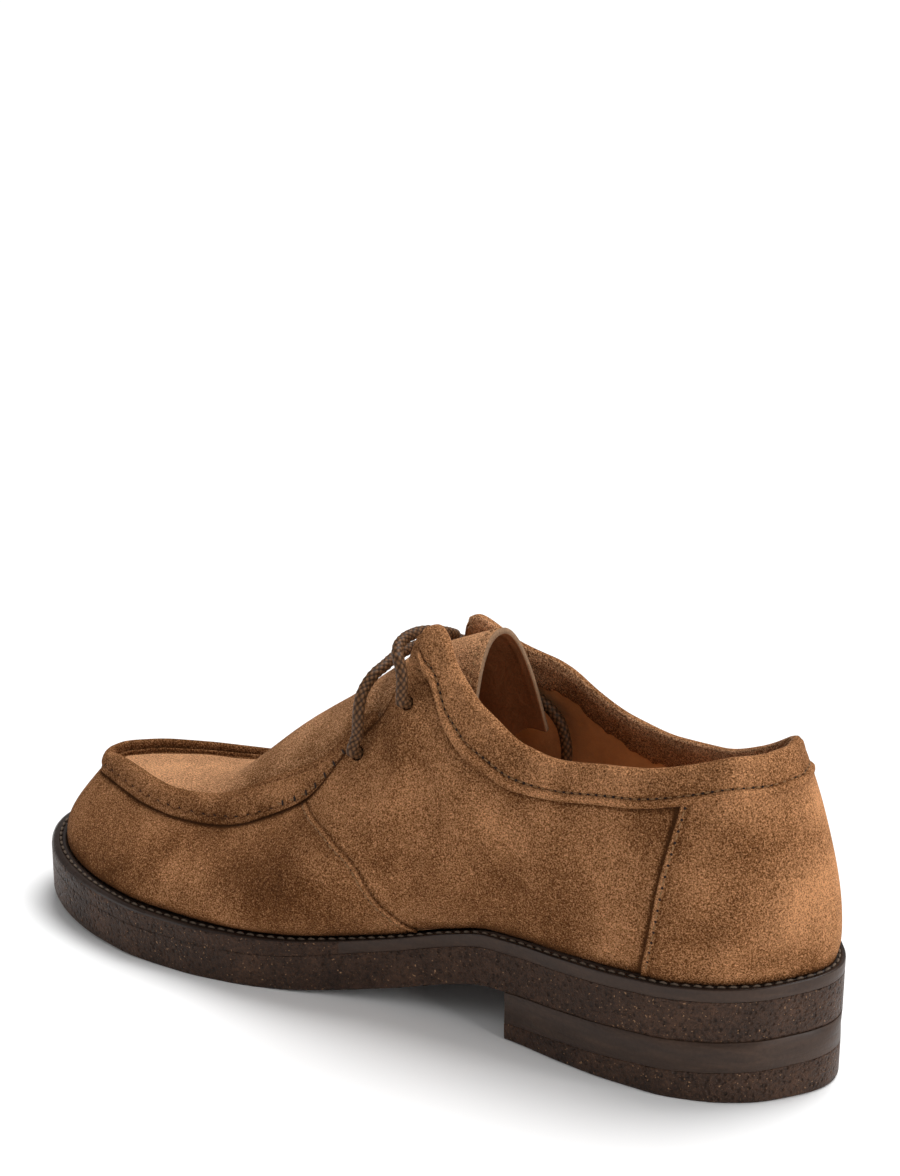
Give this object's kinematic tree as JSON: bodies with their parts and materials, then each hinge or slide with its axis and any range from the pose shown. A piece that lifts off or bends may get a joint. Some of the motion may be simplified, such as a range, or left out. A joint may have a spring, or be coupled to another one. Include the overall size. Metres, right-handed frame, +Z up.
{
  "type": "suede shoe",
  "caption": "Low suede lace-up shoe for the right foot: apron toe with a raised seam, folded collar band, heel counter, open tongue, and a stitched welt on a pitted sole with a low heel",
  "frame": {"origin": "middle of the shoe's outline on the ground it stands on", "axes": "toe along -X, heel along +X, inner side of the foot at -Y, +Z up"},
  "size_m": [0.302, 0.1018, 0.1287],
  "materials": {
    "brown_suede": "napped suede, matt",
    "tan_lining": "smooth lining leather, satin",
    "smooth_sole": "smooth dark brown edge, satin",
    "pitted_sole": "pitted and flecked, matt",
    "taupe_lace": "round braided lace, waxed"
  },
  "bodies": {
    "root": {"outsole": "pitted_sole", "welt": "smooth_sole", "heel_lift": "smooth_sole", "heel_top_piece": "pitted_sole", "insole": "tan_lining", "upper": "brown_suede", "apron_seam": "brown_suede", "tongue": "brown_suede", "heel_counter": "brown_suede", "collar_band": "brown_suede", "lace_bar_lower": "taupe_lace", "lace_bar_upper": "taupe_lace", "lace_end": "taupe_lace", "lace_tip": "taupe_lace"}
  },
  "joints": []
}
